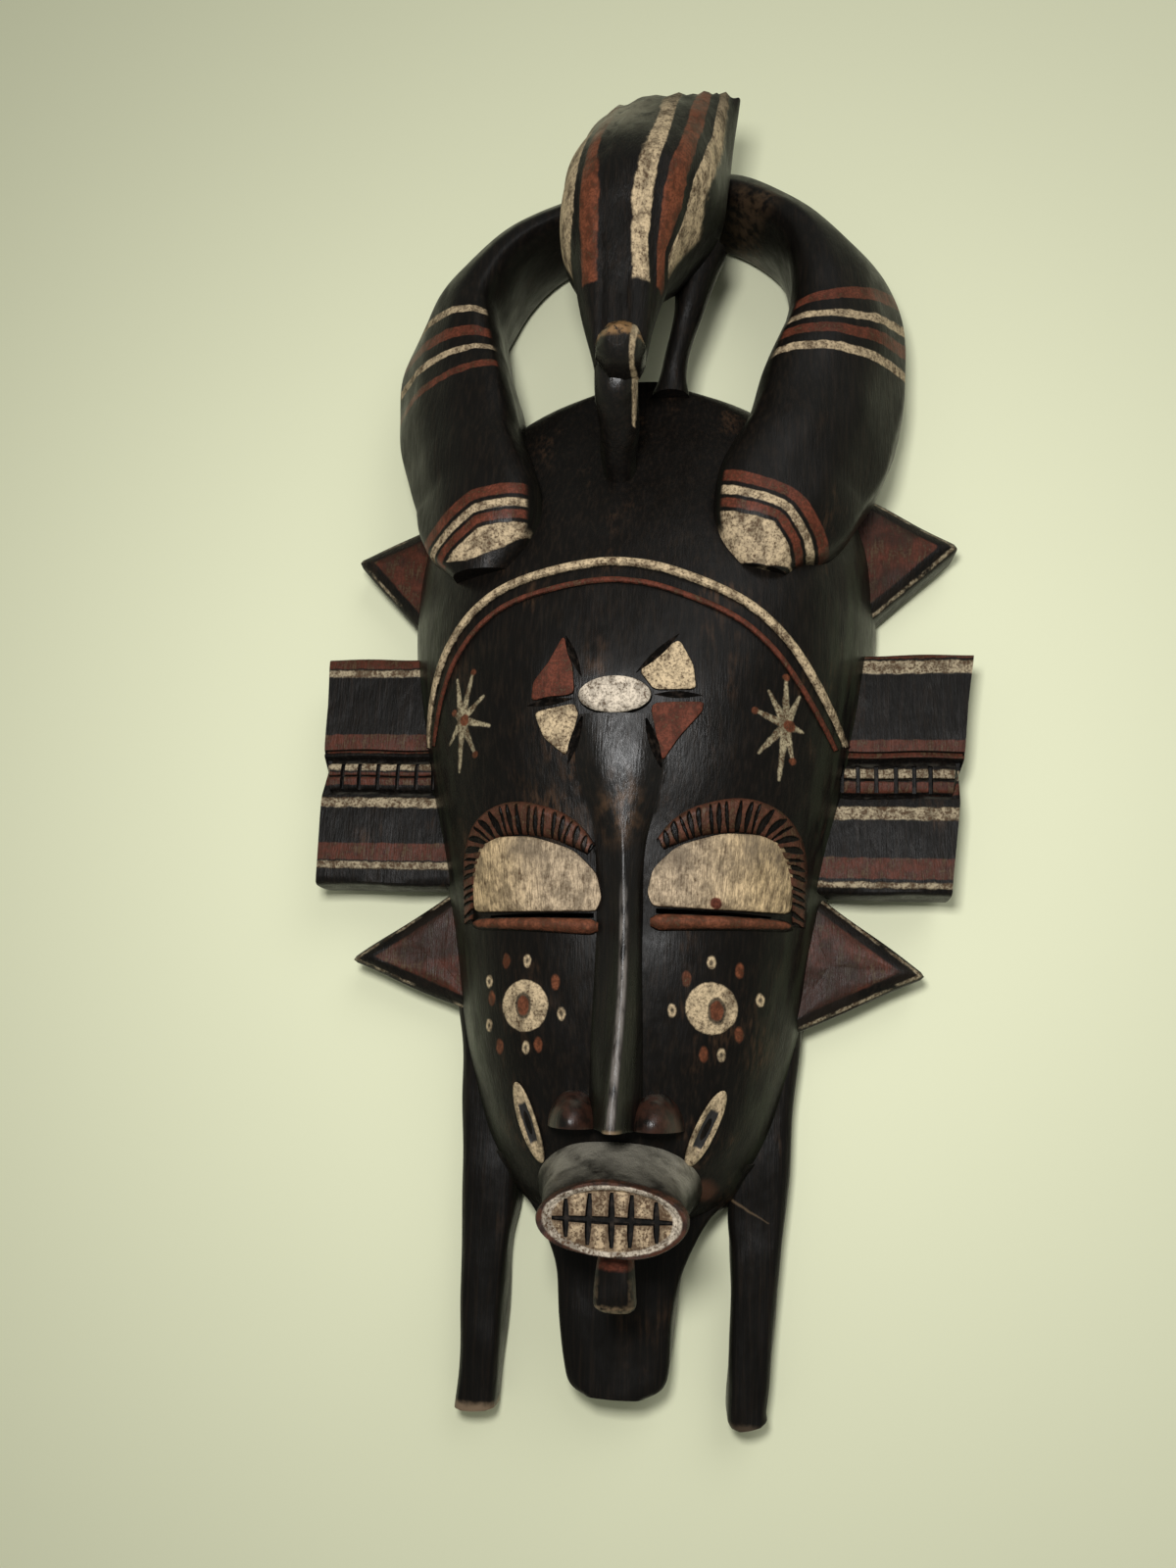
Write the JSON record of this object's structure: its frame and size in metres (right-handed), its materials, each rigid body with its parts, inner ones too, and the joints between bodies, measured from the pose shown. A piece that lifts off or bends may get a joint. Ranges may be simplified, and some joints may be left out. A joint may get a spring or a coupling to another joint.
{
  "type": "senufo kpelie mask",
  "caption": "Carved wooden face mask with a hollow back, ears, side points, legs, curved horns that close to a ring, and a hornbill on top.",
  "frame": {"origin": "middle of the bounding box at the back plane the mask lies on", "axes": "+X across the face to the viewer's right, +Y up the face from the leg ends to the bird's tail, +Z out of the face"},
  "size_m": [0.2116, 0.417, 0.0913],
  "materials": {
    "stained_wood": "satin"
  },
  "bodies": {
    "root": {"carved_mask": "stained_wood"}
  },
  "joints": []
}
